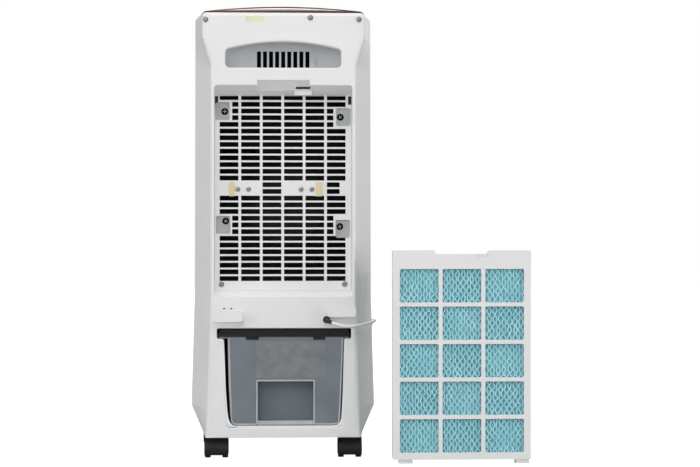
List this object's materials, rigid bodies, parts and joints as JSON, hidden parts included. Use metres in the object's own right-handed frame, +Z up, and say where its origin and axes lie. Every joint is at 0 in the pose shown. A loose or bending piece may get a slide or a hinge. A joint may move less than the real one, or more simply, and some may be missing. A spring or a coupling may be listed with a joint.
{
  "type": "evaporative cooler",
  "caption": "Household evaporative air cooler on casters, with a drawer water tank, a rear intake grille and a lift-off wet-pad cassette.",
  "frame": {"origin": "on the floor, below the middle of the housing", "axes": "+Z up, -Y out of the rear face with the cassette and the tank, +Y out of the air outlet"},
  "size_m": [0.5208, 0.4905, 0.7017],
  "materials": {
    "shell_white": "fine satin moulded ABS",
    "trim_bronze": "rose-bronze plated band",
    "panel_black": "gloss black",
    "tank_smoke": "clear smoke-blue moulded plastic",
    "black_plastic": "matt black",
    "grey_plastic": "grey moulded plastic",
    "screw_steel": "plated steel",
    "foam_beige": "closed-cell foam tape",
    "label_film": "clear film",
    "sticker_yellow": "paper film",
    "cord_ivory": "smooth PVC",
    "pad_blue": "blue woven mesh",
    "pin_metal": "nickel plated",
    "motor_metal": "grey enamel",
    "shaft_steel": "ground steel",
    "wheel_black": "hard rubber",
    "board_green": "printed board"
  },
  "bodies": {
    "housing": {"rear_shell": "shell_white", "front_shell": "shell_white", "base_pan": "shell_white", "bay_liner": "shell_white", "top_cover": "shell_white", "rear_grille": "shell_white", "water_spout": "shell_white", "cord_hooks": "shell_white", "outlet_frame": "shell_white", "top_trim": "trim_bronze", "control_panel": "panel_black", "cord_grommet": "black_plastic", "blower_scroll": "black_plastic", "case_screws": "screw_steel", "pocket_screws": "screw_steel", "foam_strips": "foam_beige", "seal_sticker": "sticker_yellow", "rating_label": "label_film", "power_cord": "cord_ivory", "cord_coil": "cord_ivory", "plug_body": "cord_ivory", "plug_pins": "pin_metal", "fan_motor": "motor_metal", "swing_motor": "motor_metal", "control_board": "board_green", "pump_hose": "grey_plastic"},
    "cassette": {"cassette_frame": "shell_white", "cassette_back": "shell_white", "evaporative_pad": "pad_blue"},
    "tank_drawer": {"tank": "tank_smoke", "tank_lid": "black_plastic", "water_pump": "black_plastic", "tank_label": "label_film"},
    "blower": {"blower_wheel": "black_plastic", "motor_shaft": "shaft_steel"},
    "button_1": {"button_1": "panel_black"},
    "button_2": {"button_2": "panel_black"},
    "button_3": {"button_3": "panel_black"},
    "button_4": {"button_4": "panel_black"},
    "button_5": {"button_5": "panel_black"},
    "louvre_1": {"louvre_1": "shell_white"},
    "louvre_2": {"louvre_2": "shell_white"},
    "louvre_3": {"louvre_3": "shell_white"},
    "louvre_4": {"louvre_4": "shell_white"},
    "vane_1": {"vane_1": "black_plastic"},
    "vane_2": {"vane_2": "black_plastic"},
    "vane_3": {"vane_3": "black_plastic"},
    "vane_4": {"vane_4": "black_plastic"},
    "vane_5": {"vane_5": "black_plastic"},
    "caster_rear_left": {"caster_hood_rear_left": "black_plastic"},
    "wheels_rear_left": {"caster_wheels_rear_left": "wheel_black"},
    "caster_rear_right": {"caster_hood_rear_right": "black_plastic"},
    "wheels_rear_right": {"caster_wheels_rear_right": "wheel_black"},
    "caster_front_left": {"caster_hood_front_left": "black_plastic"},
    "wheels_front_left": {"caster_wheels_front_left": "wheel_black"},
    "caster_front_right": {"caster_hood_front_right": "black_plastic"},
    "wheels_front_right": {"caster_wheels_front_right": "wheel_black"}
  },
  "joints": [
    {"name": "cassette_carry", "type": "slide", "parent": "housing", "child": "cassette", "axis": [-0.73, 0, 0.6834], "range_m": [0, 0.371]},
    {"name": "tank_slide", "type": "slide", "parent": "housing", "child": "tank_drawer", "axis": [0, -1, 0], "range_m": [0, 0.19]},
    {"name": "blower_spin", "type": "hinge", "parent": "housing", "child": "blower", "pos_m": [0, 0, 0.4], "axis": [0, 1, 0], "continuous": true},
    {"name": "button_1_press", "type": "slide", "parent": "housing", "child": "button_1", "axis": [0, 0, -1], "range_m": [0, 0.001], "stiffness_N_per_m": 500, "springref_m": -0.0004},
    {"name": "button_2_press", "type": "slide", "parent": "housing", "child": "button_2", "axis": [0, 0, -1], "range_m": [0, 0.001], "stiffness_N_per_m": 500, "springref_m": -0.0004},
    {"name": "button_3_press", "type": "slide", "parent": "housing", "child": "button_3", "axis": [0, 0, -1], "range_m": [0, 0.001], "stiffness_N_per_m": 500, "springref_m": -0.0004},
    {"name": "button_4_press", "type": "slide", "parent": "housing", "child": "button_4", "axis": [0, 0, -1], "range_m": [0, 0.001], "stiffness_N_per_m": 500, "springref_m": -0.0004},
    {"name": "button_5_press", "type": "slide", "parent": "housing", "child": "button_5", "axis": [0, 0, -1], "range_m": [0, 0.001], "stiffness_N_per_m": 500, "springref_m": -0.0004},
    {"name": "louvre_1_tilt", "type": "hinge", "parent": "housing", "child": "louvre_1", "pos_m": [0, 0.14, 0.51375], "axis": [1, 0, 0], "range_deg": [-35, 35]},
    {"name": "louvre_2_tilt", "type": "hinge", "parent": "housing", "child": "louvre_2", "pos_m": [0, 0.14, 0.54925], "axis": [1, 0, 0], "range_deg": [-35, 35]},
    {"name": "louvre_3_tilt", "type": "hinge", "parent": "housing", "child": "louvre_3", "pos_m": [0, 0.14, 0.58475], "axis": [1, 0, 0], "range_deg": [-35, 35]},
    {"name": "louvre_4_tilt", "type": "hinge", "parent": "housing", "child": "louvre_4", "pos_m": [0, 0.14, 0.62025], "axis": [1, 0, 0], "range_deg": [-35, 35]},
    {"name": "vane_1_swing", "type": "hinge", "parent": "housing", "child": "vane_1", "pos_m": [-0.072, 0.112, 0.567], "axis": [0, 0, 1], "range_deg": [-30, 30]},
    {"name": "vane_2_swing", "type": "hinge", "parent": "housing", "child": "vane_2", "pos_m": [-0.036, 0.112, 0.567], "axis": [0, 0, 1], "range_deg": [-30, 30]},
    {"name": "vane_3_swing", "type": "hinge", "parent": "housing", "child": "vane_3", "pos_m": [0, 0.112, 0.567], "axis": [0, 0, 1], "range_deg": [-30, 30]},
    {"name": "vane_4_swing", "type": "hinge", "parent": "housing", "child": "vane_4", "pos_m": [0.036, 0.112, 0.567], "axis": [0, 0, 1], "range_deg": [-30, 30]},
    {"name": "vane_5_swing", "type": "hinge", "parent": "housing", "child": "vane_5", "pos_m": [0.072, 0.112, 0.567], "axis": [0, 0, 1], "range_deg": [-30, 30]},
    {"name": "swivel_rear_left", "type": "hinge", "parent": "housing", "child": "caster_rear_left", "pos_m": [-0.104, -0.1, 0.035], "axis": [0, 0, 1], "continuous": true},
    {"name": "roll_rear_left", "type": "hinge", "parent": "caster_rear_left", "child": "wheels_rear_left", "pos_m": [-0.104, -0.108, 0.015], "axis": [1, 0, 0], "continuous": true},
    {"name": "swivel_rear_right", "type": "hinge", "parent": "housing", "child": "caster_rear_right", "pos_m": [0.104, -0.1, 0.035], "axis": [0, 0, 1], "continuous": true},
    {"name": "roll_rear_right", "type": "hinge", "parent": "caster_rear_right", "child": "wheels_rear_right", "pos_m": [0.104, -0.108, 0.015], "axis": [1, 0, 0], "continuous": true},
    {"name": "swivel_front_left", "type": "hinge", "parent": "housing", "child": "caster_front_left", "pos_m": [-0.112, 0.1, 0.035], "axis": [0, 0, 1], "continuous": true},
    {"name": "roll_front_left", "type": "hinge", "parent": "caster_front_left", "child": "wheels_front_left", "pos_m": [-0.112, 0.092, 0.015], "axis": [1, 0, 0], "continuous": true},
    {"name": "swivel_front_right", "type": "hinge", "parent": "housing", "child": "caster_front_right", "pos_m": [0.112, 0.1, 0.035], "axis": [0, 0, 1], "continuous": true},
    {"name": "roll_front_right", "type": "hinge", "parent": "caster_front_right", "child": "wheels_front_right", "pos_m": [0.112, 0.092, 0.015], "axis": [1, 0, 0], "continuous": true}
  ],
  "couplings": [
    {"joint": "louvre_2_tilt", "follows": "louvre_1_tilt", "ratio": 1},
    {"joint": "louvre_3_tilt", "follows": "louvre_1_tilt", "ratio": 1},
    {"joint": "louvre_4_tilt", "follows": "louvre_1_tilt", "ratio": 1},
    {"joint": "vane_1_swing", "follows": "vane_3_swing", "ratio": 1},
    {"joint": "vane_2_swing", "follows": "vane_3_swing", "ratio": 1},
    {"joint": "vane_4_swing", "follows": "vane_3_swing", "ratio": 1},
    {"joint": "vane_5_swing", "follows": "vane_3_swing", "ratio": 1}
  ]
}
